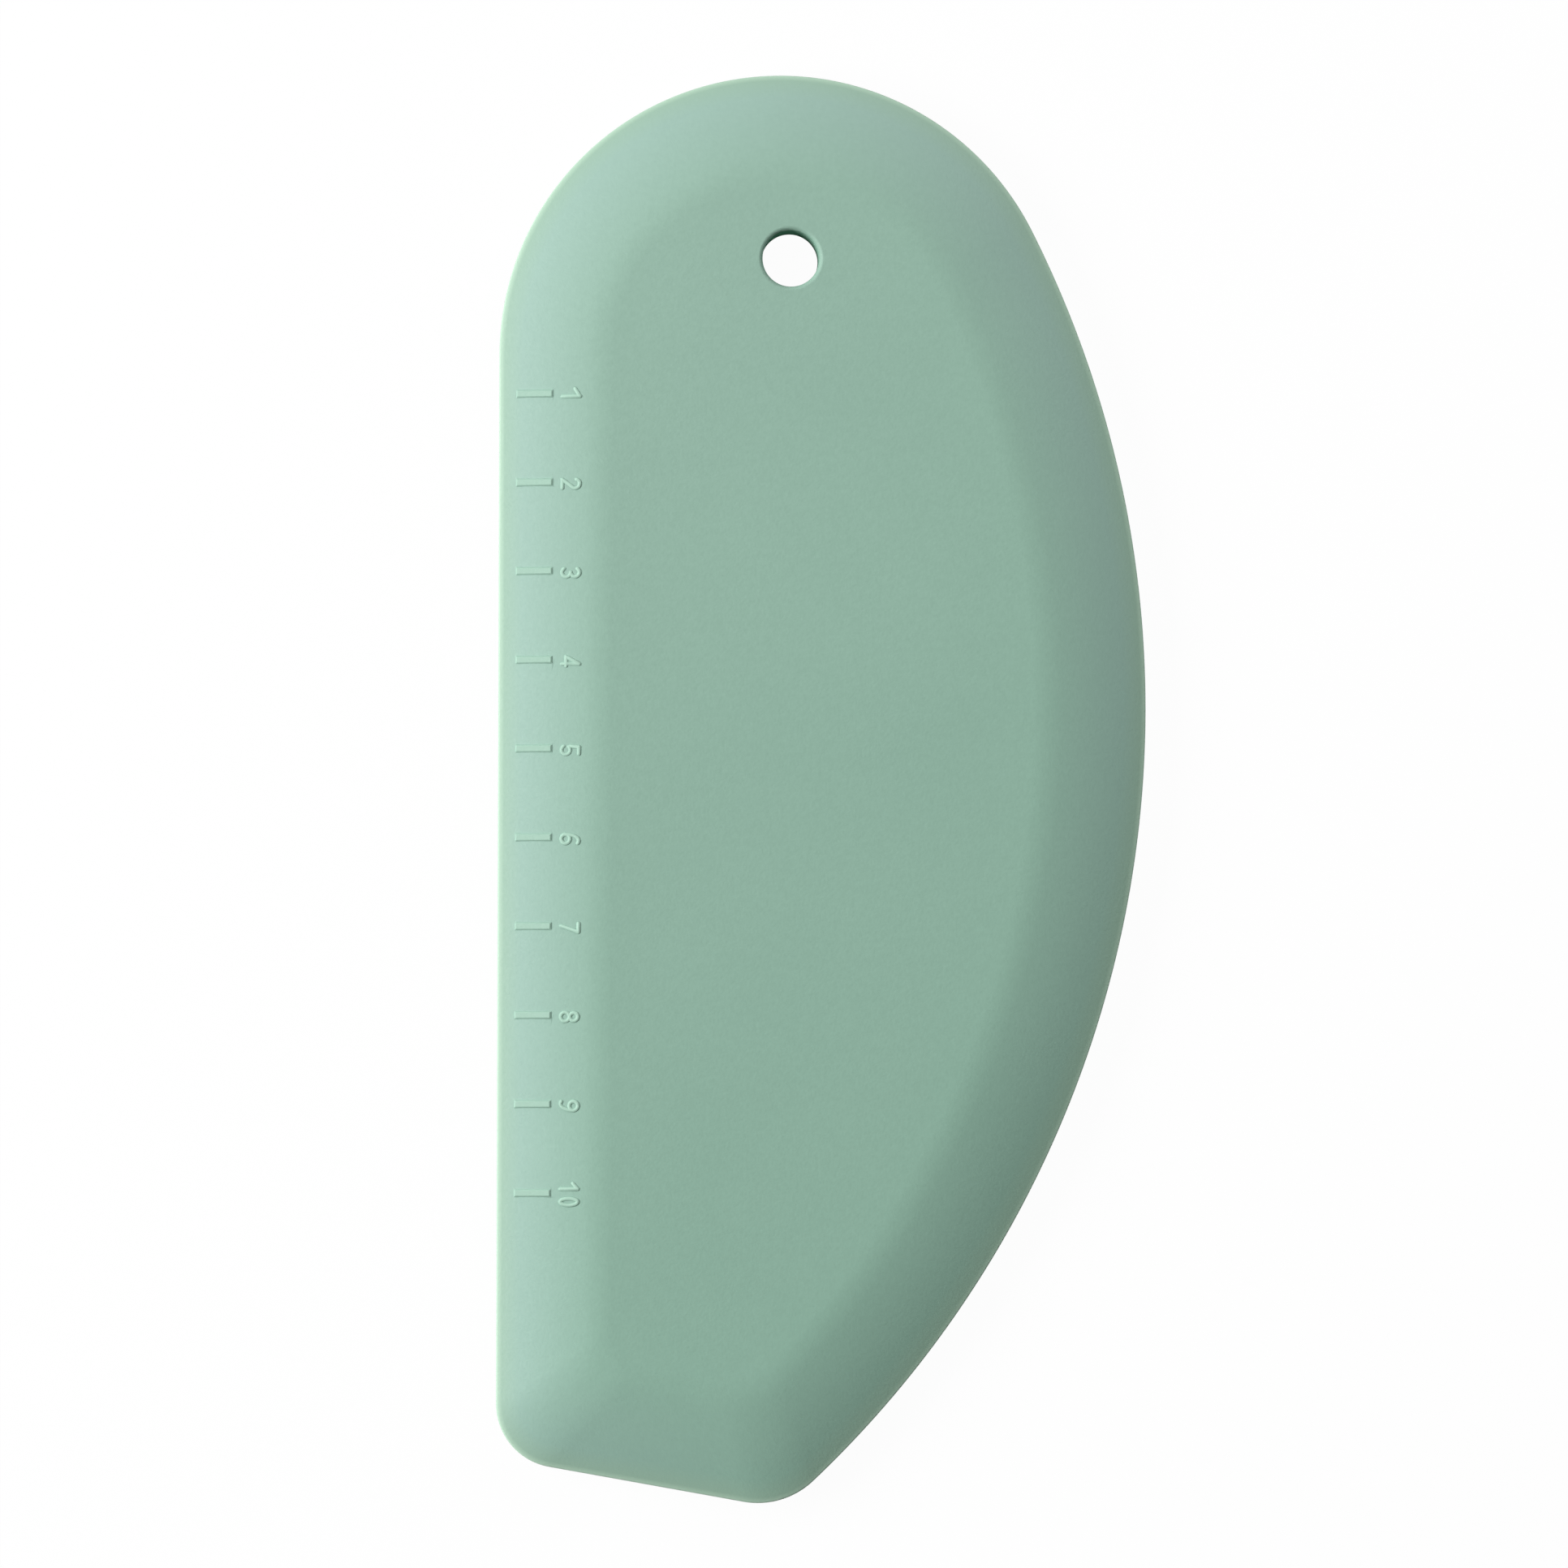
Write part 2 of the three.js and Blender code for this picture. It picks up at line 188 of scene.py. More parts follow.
def blade_outline(inset):
    """The blade's outline drawn in by the inset, anticlockwise from the heel, with a fixed point count."""
    share = inset / flat_inset
    nose_corner = nose_radius + share * (flat_nose_radius - nose_radius)
    heel_corner = heel_radius + share * (flat_heel_radius - heel_radius)
    nose = foot_normal * (foot_reach - inset - nose_corner)
    from_sweep = nose - sweep_centre
    along = from_sweep.dot(foot_direction)
    reach = sweep_radius - inset - nose_corner
    nose += foot_direction * (math.sqrt(along ** 2 - from_sweep.length_squared + reach ** 2) - along)
    heel_x = left_x + inset + heel_corner
    heel_y = (foot_reach - inset - heel_corner - foot_normal.x * heel_x) / foot_normal.y
    heel = Vector((heel_x, heel_y))

    foot_angle = math.atan2(foot_normal.y, foot_normal.x)
    nose_angle = math.atan2(nose.y - sweep_centre.y, nose.x - sweep_centre.x)
    crown_angle = math.atan2(crown_centre.y - sweep_centre.y, crown_centre.x - sweep_centre.x)
    foot_start = heel + foot_normal * heel_corner
    foot_end = nose + foot_normal * nose_corner
    straight_top = Vector((left_x + inset, crown_centre.y))
    straight_foot = Vector((left_x + inset, heel.y))
    points = arc_points(heel, heel_corner, -math.pi, foot_angle, heel_steps)
    points += line_points(foot_start, foot_end, foot_steps)
    points += arc_points(nose, nose_corner, foot_angle, nose_angle, nose_steps)
    points += arc_points(sweep_centre, sweep_radius - inset, nose_angle, crown_angle, sweep_steps)
    points += arc_points(crown_centre, crown_radius - inset, crown_angle, math.pi, crown_steps)
    points += line_points(straight_top, straight_foot, straight_steps)
    return points


def bend_points(start, corner, end, count):
    """Points of a smooth bend from start to end that leaves and arrives along the corner's two sides."""
    shares = [step / count for step in range(1, count + 1)]
    return [start * (1 - t) ** 2 + corner * 2 * t * (1 - t) + end * t ** 2 for t in shares]


def tangent_corner(start, start_tilt, end, end_tilt):
    """Where the line up from the start meets the line down from the end."""
    rise, end_rise = math.tan(start_tilt), math.tan(end_tilt)
    inset = (end.y - start.y + rise * start.x - end_rise * end.x) / (rise - end_rise)
    return Vector((inset, start.y + rise * (inset - start.x)))


def blade_section():
    """The section's front half, as inset and height over the middle, from the parting line to the flat."""
    turns = [(math.pi / 2 - edge_tilt) * step / rounding_steps for step in range(rounding_steps + 1)]
    rounding = [Vector((0, edge_wall)) + edge_rounding * Vector((1 - math.cos(turn), math.sin(turn)))
                for turn in turns]
    crease = Vector((bevel_width, middle_z))
    crease_start = crease - crease_reach * Vector((math.cos(crease_tilt), math.sin(crease_tilt)))
    crease_end = crease + Vector((crease_reach, 0))
    bulge = tangent_corner(rounding[-1], edge_tilt, crease_start, crease_tilt)
    section = [Vector((-parting_height, 0)), Vector((0, parting_width)), *rounding]
    section += bend_points(rounding[-1], bulge, crease_start, bevel_steps)
    section += bend_points(crease_start, crease, crease_end, crease_steps)
    return section


def pick(piece):
    """Selects one piece and nothing else, and makes it the one that operators work on."""
    bpy.ops.object.select_all(action="DESELECT")
    piece.select_set(True)
    bpy.context.view_layer.objects.active = piece


def open_whole(piece):
    """Opens a piece in edit mode with all of it selected."""
    pick(piece)
    bpy.ops.object.mode_set(mode="EDIT")
    bpy.ops.mesh.select_all(action="SELECT")


def raise_rings(piece, rings):
    """Extrudes a disc ring by ring: each corner of the disc goes to its own point of the next ring."""
    bpy.ops.object.mode_set(mode="EDIT")
    mesh = bmesh.from_edit_mesh(piece.data)
    corner = mesh.verts.layers.int.new("corner")
    for vert in mesh.verts:
        vert[corner] = vert.index
        vert.co = rings[0][vert.index]
    for ring in rings[1:]:
        bpy.ops.mesh.extrude_region_move()
        mesh = bmesh.from_edit_mesh(piece.data)
        corner = mesh.verts.layers.int["corner"]
        for vert in mesh.verts:
            if vert.select:
                vert.co = ring[vert[corner]]
        bmesh.update_edit_mesh(piece.data)
    bpy.ops.object.mode_set(mode="OBJECT")


def turn_outwards(piece):
    """Turns every face of a closed piece outwards."""
    open_whole(piece)
    bpy.ops.mesh.normals_make_consistent(inside=False)
    bpy.ops.object.mode_set(mode="OBJECT")


def merge_close(piece):
    """Makes one point of points that lie almost on top of each other."""
    open_whole(piece)
    bpy.ops.mesh.remove_doubles(threshold=merge_distance)
    bpy.ops.object.mode_set(mode="OBJECT")


def combine(piece, tool, operation):
    """Cuts the tool out of the piece, or joins it on, and puts the tool away."""
    pick(piece)
    bpy.ops.object.modifier_add(type="BOOLEAN")
    boolean = piece.modifiers[-1]
    boolean.operation = operation
    boolean.solver = "MANIFOLD"
    boolean.object = tool
    bpy.ops.object.modifier_apply(modifier=boolean.name)
    bpy.data.objects.remove(tool)


section = blade_section()
rings = [[Vector((*point, level.y)) for point in blade_outline(level.x)] for level in section]
bpy.ops.object.select_all(action="DESELECT")
bpy.ops.mesh.primitive_circle_add(vertices=len(rings[0]), radius=crown_radius, fill_type="NGON")
blade = bpy.context.object
blade.name = "silicone_blade"
raise_rings(blade, rings)

# The disc that the first ring was raised from comes off, and the back is the front mirrored
bpy.ops.object.mode_set(mode="EDIT")
bpy.ops.mesh.select_all(action="DESELECT")
mesh = bmesh.from_edit_mesh(blade.data)
for face in mesh.faces:
    face.select_set(all(abs(vert.co.z) < merge_distance for vert in face.verts))
bmesh.update_edit_mesh(blade.data)
bpy.ops.mesh.delete(type="ONLY_FACE")
bpy.ops.object.mode_set(mode="OBJECT")
bpy.ops.object.modifier_add(type="MIRROR")
mirror = blade.modifiers[-1]
mirror.use_axis = (False, False, True)
mirror.merge_threshold = merge_distance
bpy.ops.object.modifier_apply(modifier=mirror.name)
open_whole(blade)
bpy.ops.transform.translate(value=(0, 0, middle_z))
bpy.ops.object.mode_set(mode="OBJECT")
turn_outwards(blade)

# The silicone leaves the plate a pocket of the plate's own shape, and fills its anchor holes. The copy
# that cuts it gives up its stored normals, so that none of them end up on the blade.
pick(plate)
bpy.ops.object.duplicate()
pocket = bpy.context.object
bpy.ops.mesh.customdata_custom_splitnormals_clear()
merge_close(pocket)
combine(blade, pocket, "DIFFERENCE")


# The hanging hole
# A round hole through the crown, moulded over a pin, with a small rounded rim on both faces. The plate
# stays well clear of it, so its wall is silicone all the way.
hole_radius = 3.2 * MM
hole_rim = 0.5 * MM
hole_shift = 1 * MM
hole_drop = 20.9 * MM
hole_corners = 96
rim_steps = 8
rim_lift = 0.002 * MM
pin_overhang = 1 * MM
bore_grain_size = 0.35 * MM
bore_roughness = 0.9
bore_shades = (screen_colour(134, 172, 154), screen_colour(142, 180, 162))

# The pin is as wide as the rim from just over both faces, and narrows to the bore between them
hole_centre = Vector((crown_centre.x + hole_shift, overall_length / 2 - hole_drop))
pin_half = [Vector((hole_radius + hole_rim, middle_z + pin_overhang))]
for step in range(rim_steps + 1):
    turn = math.pi / 2 * step / rim_steps
    pin_half.append(Vector((hole_radius + hole_rim * (1 - math.sin(turn)),
                            middle_z + rim_lift - hole_rim * (1 - math.cos(turn)))))
pin_section = pin_half + [Vector((level.x, -level.y)) for level in reversed(pin_half)]
pin_rings = [[Vector((*point, middle_z + level.y))
              for point in arc_points(hole_centre, level.x, 0, 2 * math.pi, hole_corners)]
             for level in reversed(pin_section)]
bpy.ops.object.select_all(action="DESELECT")
bpy.ops.mesh.primitive_circle_add(vertices=hole_corners, radius=hole_radius, fill_type="NGON")
pin = bpy.context.object
raise_rings(pin, pin_rings)
turn_outwards(pin)
combine(blade, pin, "DIFFERENCE")

# The pin leaves a dull wall with no sheen
bore_silicone, nodes, links, shader = new_material("bore_silicone")
bore_grain = add_noise(nodes, links, bore_grain_size, detail=3)
links.new(add_colour_mix(nodes, links, bore_grain, *bore_shades), shader.inputs["Base Color"])
shader.inputs["Roughness"].default_value = bore_roughness
shader.inputs["Specular IOR Level"].default_value = 0


# The centimetre scale
# Ten short bars and their numbers, raised from the bevel beside the straight edge in the same silicone.
# They were cut into the mould: the bars have flat tops and sloped sides, the numbers have round strokes.
bar_count = 10
bar_pitch = 10 * MM
first_bar_drop = 36.25 * MM
bar_inset = 1.95 * MM
bar_length = 4 * MM
bar_width = 0.6 * MM
bar_height = 0.2 * MM
bar_root = 0.4 * MM
bar_draft = math.radians(42)
bar_rounding = 0.06 * MM
bar_rounding_steps = 4
numeral_inset = 8.05 * MM
numeral_drop = 0.2 * MM
numeral_height = 2.5 * MM
numeral_width = 1.5 * MM
narrow_width = 1.25 * MM
numeral_gap = 0.3 * MM
stroke_radius = 0.28 * MM
stroke_rise = 0.16 * MM
stroke_step = 0.008 * MM
stroke_corners = 18
stroke_end_turns = (30, 60, 85)
bowl_steps = 28


def face_height(inset):
    """How high the front face stands at an inset from the edge."""
    for low, high in zip(section, section[1:]):
        if low.x <= inset <= high.x:
            return middle_z + low.y + (high.y - low.y) * (inset - low.x) / (high.x - low.x)
    return thickness


def bevel_seat(start, end):
    """The middle of a stretch of the straight bevel, as x and z, and the stretch's tilt."""
    low, high = face_height(start), face_height(end)
    return left_x + (start + end) / 2, (low + high) / 2, math.atan2(high - low, end - start)


# One bar with a flat top and sides that slope out to its root, repeated down the edge
first_bar_y = overall_length / 2 - first_bar_drop
bar_x, bar_z, bar_tilt = bevel_seat(bar_inset, bar_inset + bar_length)
bar_spread = 2 * (bar_height + bar_root) * math.tan(bar_draft)
bpy.ops.object.select_all(action="DESELECT")
bpy.ops.mesh.primitive_cube_add(size=1, scale=(bar_length, bar_width, bar_height + bar_root))
marks = bpy.context.object
bpy.ops.object.transform_apply(location=False, rotation=False, scale=True)
bpy.ops.object.mode_set(mode="EDIT")
bpy.ops.mesh.select_all(action="DESELECT")
mesh = bmesh.from_edit_mesh(marks.data)
for face in mesh.faces:
    looks_down = face.normal.z < -0.9
    face.select_set(looks_down)
bmesh.update_edit_mesh(marks.data)
bpy.ops.transform.resize(value=(1 + bar_spread / bar_length, 1 + bar_spread / bar_width, 1))
bpy.ops.mesh.select_all(action="SELECT")
bpy.ops.mesh.bevel(offset=bar_rounding, segments=bar_rounding_steps, affect="EDGES")
bpy.ops.transform.translate(value=(0, 0, (bar_height - bar_root) / 2))
bpy.ops.object.mode_set(mode="OBJECT")
marks.rotation_euler = (0, -bar_tilt, 0)
marks.location = (bar_x, first_bar_y, bar_z)
bpy.ops.object.transform_apply(location=True, rotation=True, scale=True)
bpy.ops.object.modifier_add(type="ARRAY")
array = marks.modifiers[-1]
array.count = bar_count
array.use_relative_offset = False
array.use_constant_offset = True
array.constant_offset_displace = (0, -bar_pitch, 0)
bpy.ops.object.modifier_apply(modifier=array.name)


def bowl(x, y, wide, tall, start, end):
    """Points of an oval arc of a digit, from one angle to another in degrees."""
    turns = [start + (end - start) * step / bowl_steps for step in range(bowl_steps + 1)]
    angles = [math.radians(turn) for turn in turns]
    return [Vector((x + wide * math.cos(angle), y + tall * math.sin(angle))) for angle in angles]


def digit_strokes(digit, width):
    """The middle lines of a digit's strokes, drawn upright about its middle, and whether each closes."""
    reach = math.sqrt(stroke_radius ** 2 - (stroke_radius - stroke_rise) ** 2)
    half = width / 2 - reach
    top = numeral_height / 2 - reach
    waist = top - half

    def line(*ends):
        return [Vector((x * half, y * top)) for x, y in ends], False

    def curve(y, wide, tall, start, end):
        return bowl(0, y, wide, tall, start, end), False

    def ring(y, wide, tall):
        return bowl(0, y, wide, tall, 0, 360)[:-1], True

    hook_width = half * 1.45
    hook = bowl(hook_width - half, -waist, hook_width, top + waist, 176, 68)
    six = [ring(-waist, half, half), (hook, False)]
    if digit == "0":
        return [ring(0, half, top)]
    if digit == "1":
        return [line((0.3, -1), (0.3, 1)), line((-1.4, 0.45), (0.3, 1))]
    if digit == "2":
        neck = bowl(0, waist, half, half, 165, -40) + line((-0.95, -1))[0]
        return [(neck, False), line((-0.95, -1), (1, -1))]
    if digit == "3":
        return [curve(waist, half * 0.95, half, 150, -90), curve(-waist, half, half, 90, -150)]
    if digit == "4":
        slope = line((0.6, 1), (-1, -0.5))
        return [slope, line((-1, -0.5), (1.05, -0.5)), line((0.6, 1), (0.6, -1))]
    if digit == "5":
        belly = curve(-waist, half, half, 140, -150)
        return [line((0.85, 1), (-0.7, 1)), line((-0.7, 1), (-0.85, 0)), belly]
    if digit == "6":
        return six
    if digit == "7":
        return [line((-0.95, 1), (0.95, 1)), line((0.95, 1), (-0.45, -1))]
    if digit == "8":
        return [ring(waist, half * 0.88, half * 0.92), ring(-waist, half, half)]
    return [([-point for point in path], closed) for path, closed in six]


def stroke_rings(path, closed, full_radius):
    """Rings of points round a stroke's middle line. An open stroke has a round end at both ends."""
    stations = [(point, full_radius) for point in path]
    if not closed:
        for end_turn in stroke_end_turns:
            turn = math.radians(end_turn)
            reach, radius = full_radius * math.sin(turn), full_radius * math.cos(turn)
            stations.insert(0, (path[0] + (path[0] - path[1]).normalized() * reach, radius))
            stations.append((path[-1] + (path[-1] - path[-2]).normalized() * reach, radius))
    angles = [2 * math.pi * (corner + 0.5) / stroke_corners for corner in range(stroke_corners)]
    last = len(stations) - 1
    rings = []
    for index, (middle, radius) in enumerate(stations):
        before = stations[index - 1 if closed else max(index - 1, 0)][0]
        after = stations[(index + 1) % len(stations) if closed else min(index + 1, last)][0]
        side = (after - before).normalized().orthogonal()
        rings.append([Vector((*(middle + side * radius * math.cos(angle)), radius * math.sin(angle)))
                      for angle in angles])
    return rings


def draw_stroke(path, closed, radius):
    """One round stroke: a disc drawn out along its middle line, or a torus laid round it if it closes."""
    rings = stroke_rings(path, closed, radius)
    bpy.ops.object.select_all(action="DESELECT")
    if closed:
        bpy.ops.mesh.primitive_torus_add(major_segments=len(rings), minor_segments=stroke_corners)
        stroke = bpy.context.object
        for vert in stroke.data.vertices:
            vert.co = rings[vert.index // stroke_corners][vert.index % stroke_corners]
    else:
        bpy.ops.mesh.primitive_circle_add(vertices=stroke_corners, fill_type="NGON")
        stroke = bpy.context.object
        raise_rings(stroke, rings)
    turn_outwards(stroke)
    return stroke


# Each number stands on its side beside its bar, with its top towards the middle of the blade. The
# strokes lie sunk in the bevel, so that only their rounded backs show. The digits of 10 are narrower.
# Each further stroke of a digit is a hair thinner, so that two round ends never share a surface.
half_height = numeral_height / 2
numeral_seat = bevel_seat(numeral_inset - half_height, numeral_inset + half_height)
numeral_x, numeral_z, numeral_tilt = numeral_seat
numerals = []
for number in range(1, bar_count + 1):
    digits = str(number)
    width = numeral_width if len(digits) == 1 else narrow_width
    numeral_y = first_bar_y - numeral_drop - (number - 1) * bar_pitch
    for place, digit in enumerate(digits):
        first, *others = [draw_stroke(path, closed, stroke_radius - order * stroke_step)
                          for order, (path, closed) in enumerate(digit_strokes(digit, width))]
        for other in others:
            combine(first, other, "UNION")
        across = (place - (len(digits) - 1) / 2) * (width + numeral_gap)
        open_whole(first)
        bpy.ops.transform.translate(value=(across, 0, stroke_rise - stroke_radius))
        bpy.ops.object.mode_set(mode="OBJECT")
        first.rotation_mode = "ZYX"
        first.rotation_euler = (0, -numeral_tilt, -math.pi / 2)
        first.location = (numeral_x, numeral_y, numeral_z)
        bpy.ops.object.transform_apply(location=True, rotation=True, scale=True)
        numerals.append(first)

# The bars and numbers become one with the blade
pick(marks)
for numeral in numerals:
    numeral.select_set(True)
bpy.ops.object.join()
combine(blade, marks, "UNION")
merge_close(blade)


# The curved edge
# The thin outer lens of the same moulding along the sweep, which bends by itself. It is parted from the
# blade along a straight line inside its bend, where the two never move against each other.
seam_x = 24.9 * MM


def keep_side(piece, inner):
    """Cuts the piece at the seam and keeps its inner or its outer side, closed along the cut."""
    open_whole(piece)
    bpy.ops.mesh.bisect(plane_co=(seam_x, 0, 0), plane_no=(1, 0, 0), use_fill=True,
                        clear_inner=not inner, clear_outer=inner, threshold=merge_distance)
    bpy.ops.object.mode_set(mode="OBJECT")


pick(blade)
bpy.ops.object.duplicate()
curved_edge = bpy.context.object
curved_edge.name = "silicone_curved_edge"
keep_side(blade, True)
keep_side(curved_edge, False)


# The silicone's finish
# Matte, slightly satin silicone with the grain of a blasted mould. A painted colour cast of the light
# makes it greyer towards the crown and greener towards the nose, and a painted sheen pales the bevels
# towards the edge, though hardly at the nose. Light that comes through the thin edge is painted on it,
# palest at its rim, and painted highlights lie on the tops of the bars and numbers.
grain_size = 0.35 * MM
grain_depth = 0.02 * MM
cloud_size = 22 * MM
cloud_share = 0.25
speckle_size = 0.6 * MM
speckle_share = 0.14
noise_spread = (0.3, 0.7)
# Where the painted colour cast, the bevels' painted sheen, the painted light through the thin edge and the
# marks' painted highlights lie
drift_reach = 60 * MM
drift_direction = (0.75, -0.66, 0)
nose_stretch = (0.65, 0.9)
nose_sheen_share = 0.1
bevel_sheen_share = 0.5
thin_edge_width = 2.6 * MM
rim_width = 0.6 * MM
rim_light_share = 0.8
mark_shoulders = (0.03 * MM, 0.1 * MM)
silicone_roughness = (0.55, 0.65)
silicone_ior = 1.41
silicone_specular = 0.6
smooth_angle = math.radians(40)
outline_parts = 8

# The crown and nose colours carry a painted colour cast; the bevel, edge, rim, bar and numeral colours are
# painted sheen, light and highlights
crown_green = screen_colour(145, 178, 162)
nose_green = screen_colour(136, 175, 156)
cloud_green = screen_colour(152, 188, 170)
speckle_green = screen_colour(115, 148, 131)
bevel_sheen_green = screen_colour(155, 184, 177)
edge_light_green = screen_colour(148, 180, 159)
rim_light_green = screen_colour(182, 212, 190)
bar_highlight_green = screen_colour(152, 186, 169)
numeral_highlight_green = screen_colour(162, 197, 179)

# Points close together along the edge, from which every point's distance to the edge is measured
outline_points = blade_outline(0)
outline_sides = zip(outline_points, outline_points[1:] + outline_points[:1])
outline_tree = kdtree.KDTree(len(outline_points) * outline_parts)
for index, (point, following) in enumerate(outline_sides):
    for part, between in enumerate(line_points(point, following, outline_parts)):
        outline_tree.insert((*between, 0), index * outline_parts + part)
outline_tree.balance()


def write_values(piece, name, values):
    """Writes one value on each of the piece's points, for its material to read."""
    layer = piece.data.attributes.new(name, "FLOAT", "POINT")
    layer.data.foreach_set("value", values)


def finish_silicone(piece):
    """Smooths the piece, writes each point's depth from the edge and rise, and gives it its material."""
    pick(piece)
    bpy.ops.object.shade_smooth_by_angle(angle=smooth_angle)
    bpy.ops.object.modifier_add(type="WEIGHTED_NORMAL")
    weighting = piece.modifiers[-1]
    weighting.keep_sharp = True
    bpy.ops.object.modifier_apply(modifier=weighting.name)
    places = [vert.co for vert in piece.data.vertices]
    depths = [outline_tree.find((place.x, place.y, 0))[2] for place in places]
    rises = [max(0, place.z - face_height(depth)) for place, depth in zip(places, depths)]
    numbered = [depth > bar_inset + bar_length + bar_spread for depth in depths]
    bar_rises = [rise * (not inside) for rise, inside in zip(rises, numbered)]
    numeral_rises = [rise * inside for rise, inside in zip(rises, numbered)]
    write_values(piece, "edge_depth", depths)
    write_values(piece, "bar_rise", bar_rises)
    write_values(piece, "numeral_rise", numeral_rises)
    piece.data.materials.clear()
    piece.data.materials.append(silicone)


def add_attribute(nodes, name):
    """A value that was written on the piece's points."""
    attribute = nodes.new("ShaderNodeAttribute")
    attribute.attribute_name = name
    return attribute.outputs["Fac"]


def add_drift(nodes, links, direction, reach):
    """0 at one end of the piece and 1 at the other, along a direction."""
    place = nodes.new("ShaderNodeTexCoord")
    along = nodes.new("ShaderNodeVectorMath")
    along.operation = "DOT_PRODUCT"
    along.inputs[1].default_value = direction
    links.new(place.outputs["Object"], along.inputs[0])
    return add_range(nodes, links, along.outputs["Value"], (-reach, reach), (0, 1))


def add_product(nodes, links, first, second):
    """Two values multiplied."""
    product = nodes.new("ShaderNodeMath")
    product.operation = "MULTIPLY"
    links.new(first, product.inputs[0])
    links.new(second, product.inputs[1])
    return product.outputs[0]


silicone, nodes, links, shader = new_material("sage_silicone")
# A painted colour cast of the light: greyer towards the crown and greener towards the nose
drift = add_drift(nodes, links, drift_direction, drift_reach)
body_colour_with_painted_cast = add_colour_mix(nodes, links, drift, crown_green, nose_green)
clouds = add_noise(nodes, links, cloud_size, detail=6)
clouding = add_range(nodes, links, clouds, noise_spread, (0, cloud_share))
cloudy = add_colour_mix(nodes, links, clouding, body_colour_with_painted_cast, cloud_green)
speckles = add_noise(nodes, links, speckle_size, detail=2)
speckling = add_range(nodes, links, speckles, noise_spread, (0, speckle_share))
speckled = add_colour_mix(nodes, links, speckling, cloudy, speckle_green)

# The painted sheen of the bevels, and the painted light through the thin edge and its rim, by their
# distance from the edge
edge_depth = add_attribute(nodes, "edge_depth")
# Painted sheen on the bevels, paler towards the edge and hardly any at the nose
nose_fade = add_range(nodes, links, drift, nose_stretch, (1, nose_sheen_share))
towards_edge = add_range(nodes, links, edge_depth, (0, bevel_width), (bevel_sheen_share, 0))
painted_sheen = add_product(nodes, links, towards_edge, nose_fade)
sheened_bevel = add_colour_mix(nodes, links, painted_sheen, speckled, bevel_sheen_green)
# Painted light that comes through the thin edge, palest at its rim
thinning = add_range(nodes, links, edge_depth, (0, thin_edge_width), (1, 0))
thin_edge = add_colour_mix(nodes, links, thinning, sheened_bevel, edge_light_green)
rim_light = add_range(nodes, links, edge_depth, (0, rim_width), (rim_light_share, 0))
rim = add_colour_mix(nodes, links, rim_light, thin_edge, rim_light_green)

# Painted highlights on the tops of the bars and numbers, by how far they rise over the bevel
bar_highlight = add_range(nodes, links, add_attribute(nodes, "bar_rise"), mark_shoulders, (0, 1))
barred = add_colour_mix(nodes, links, bar_highlight, rim, bar_highlight_green)
crest_highlight = add_range(nodes, links, add_attribute(nodes, "numeral_rise"), mark_shoulders, (0, 1))
silicone_colour = add_colour_mix(nodes, links, crest_highlight, barred, numeral_highlight_green)
links.new(silicone_colour, shader.inputs["Base Color"])

grain = add_noise(nodes, links, grain_size, detail=3)
roughness = add_range(nodes, links, grain, noise_spread, silicone_roughness)
links.new(roughness, shader.inputs["Roughness"])
shader.inputs["IOR"].default_value = silicone_ior
shader.inputs["Specular IOR Level"].default_value = silicone_specular
add_bump(nodes, links, shader, grain, grain_depth)

finish_silicone(blade)
finish_silicone(curved_edge)
blade.data.materials.append(bore_silicone)
for face in blade.data.polygons:
    face.material_index = int((face.center.xy - hole_centre).length < hole_radius)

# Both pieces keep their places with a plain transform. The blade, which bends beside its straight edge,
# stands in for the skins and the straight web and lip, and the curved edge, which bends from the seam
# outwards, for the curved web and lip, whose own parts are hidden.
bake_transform(blade)
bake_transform(curved_edge)
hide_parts("front_skin", "back_skin", "straight_flex_web", "straight_lip")
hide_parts("curved_flex_web", "curved_lip")


# The table
# A plain white sheet under the scraper. Seen directly it is nearly white, and it keeps a faint shadow.
table_size = 6
table_drop = 0.1 * MM
white_share = 0.97
sheet_colour = (0.9, 0.9, 0.9, 1)
sheet_roughness = 0.9
bpy.ops.object.select_all(action="DESELECT")
bpy.ops.mesh.primitive_plane_add(size=table_size, location=(0, 0, -table_drop))
table = bpy.context.object
table.name = "table"


def add_seen_directly(nodes, links):
    """1 for what the camera sees, straight or through glass or a gloss, and 0 for light on its way."""
    path = nodes.new("ShaderNodeLightPath")
    total = path.outputs["Is Camera Ray"]
    for name in ("Is Glossy Ray", "Is Transmission Ray"):
        either = nodes.new("ShaderNodeMath")
        either.operation = "MAXIMUM"
        links.new(total, either.inputs[0])
        links.new(path.outputs[name], either.inputs[1])
        total = either.outputs[0]
    return total


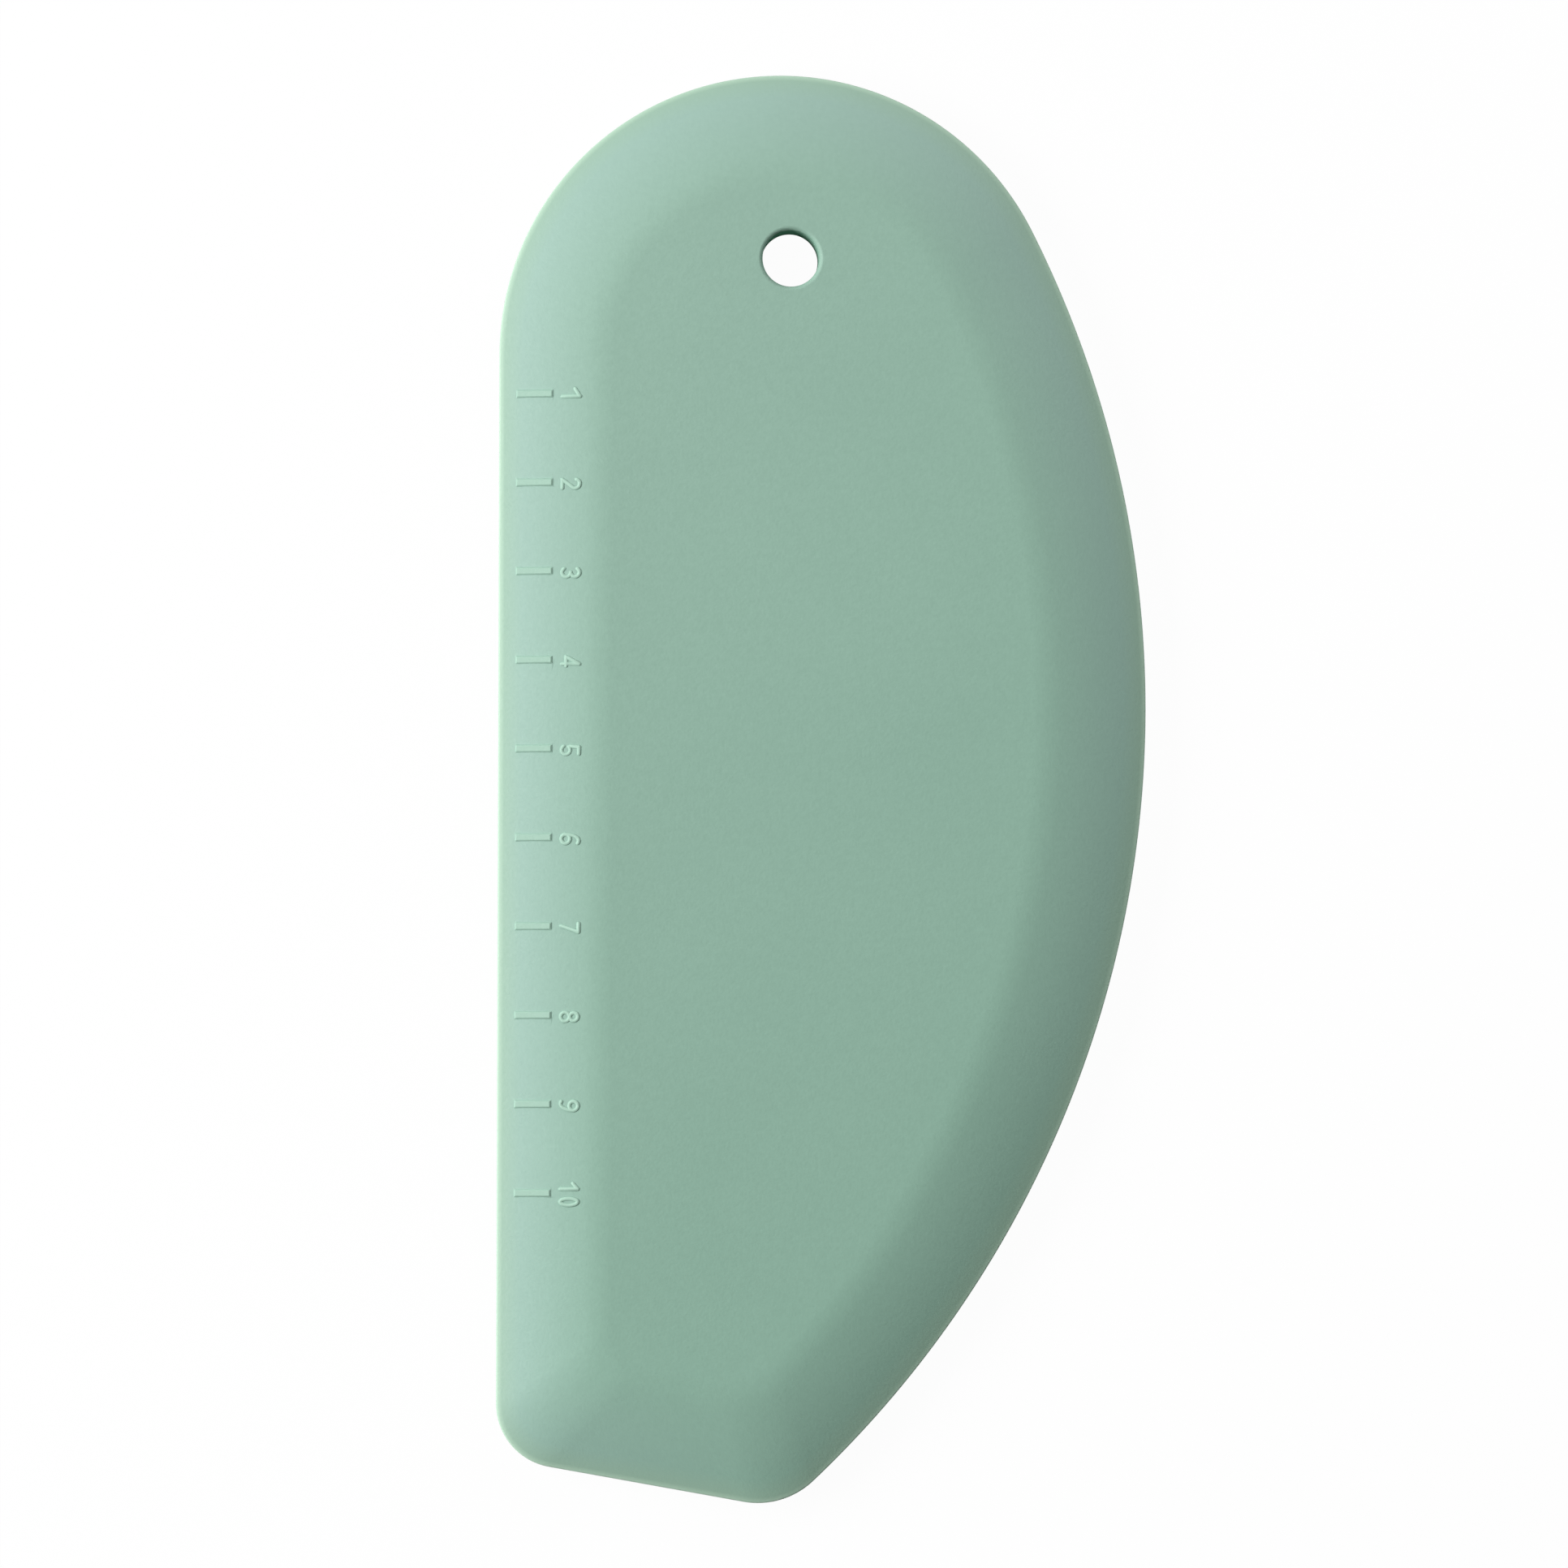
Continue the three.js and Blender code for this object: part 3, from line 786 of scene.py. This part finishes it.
sheet, nodes, links, shader = new_material("white_sheet")
shader.inputs["Base Color"].default_value = sheet_colour
shader.inputs["Roughness"].default_value = sheet_roughness
white = nodes.new("ShaderNodeEmission")
seen = add_seen_directly(nodes, links)
share = add_range(nodes, links, seen, (0, 1), (0, white_share))
blend = nodes.new("ShaderNodeMixShader")
links.new(share, blend.inputs[0])
links.new(shader.outputs[0], blend.inputs[1])
links.new(white.outputs[0], blend.inputs[2])
links.new(blend.outputs[0], nodes["Material Output"].inputs["Surface"])
table.data.materials.append(sheet)


# The light
# One large soft lamp low on the left, a smaller and nearer one on the upper right, which lifts the crown
# and the far bevel a little, and a dim, even room round them.
room_level = 0.03


def add_lamp(name, turn, height, distance, side, power):
    """A square soft lamp aimed at the scraper, from a compass turn and a height in degrees."""
    turn, height = math.radians(turn), math.radians(height)
    level = math.cos(height)
    direction = Vector((math.cos(turn) * level, math.sin(turn) * level, math.sin(height)))
    bpy.ops.object.light_add(type="AREA", location=direction * distance)
    lamp = bpy.context.object
    lamp.name = name
    lamp.rotation_euler = direction.to_track_quat("Z", "Y").to_euler()
    lamp.visible_camera = False
    lamp.data.size = side
    lamp.data.energy = power


add_lamp("key_lamp", turn=175.5, height=33, distance=0.8, side=0.5, power=9.2)
add_lamp("fill_lamp", turn=60, height=30, distance=0.5, side=0.4, power=1.1)

room = bpy.data.worlds.new("room")
room.use_nodes = True
bpy.context.scene.world = room
nodes, links = room.node_tree.nodes, room.node_tree.links
background = nodes["Background"]
background.inputs["Color"].default_value = (1, 1, 1, 1)
seen = add_seen_directly(nodes, links)
links.new(add_range(nodes, links, seen, (0, 1), (room_level, 1)), background.inputs["Strength"])


# The view
# From above, as the photograph was taken, with the crown at the top and a very slight turn. The hanging
# hole's wall shows that the lens stood a little to the left and towards the nose, so the camera does too.
picture_pixels = 1932
pixels_per_mm = 10.925
view_centre = Vector((-4.2 * MM, 0.3 * MM, middle_z))
view_offset = Vector((-40 * MM, -44 * MM, 1200 * MM))
view_turn = math.radians(0.13)
film_width = 36

view_tilt = -math.atan2(view_offset.y, view_offset.z)
view_lean = math.atan2(view_offset.x, view_offset.z)
view_width = picture_pixels / pixels_per_mm * MM
bpy.ops.object.camera_add(location=view_centre + view_offset,
                          rotation=(view_tilt, view_lean, view_turn))
camera = bpy.context.object
camera.data.sensor_width = film_width
camera.data.lens = film_width * view_offset.length / view_width
bpy.context.scene.camera = camera
bpy.context.scene.view_settings.view_transform = "Standard"
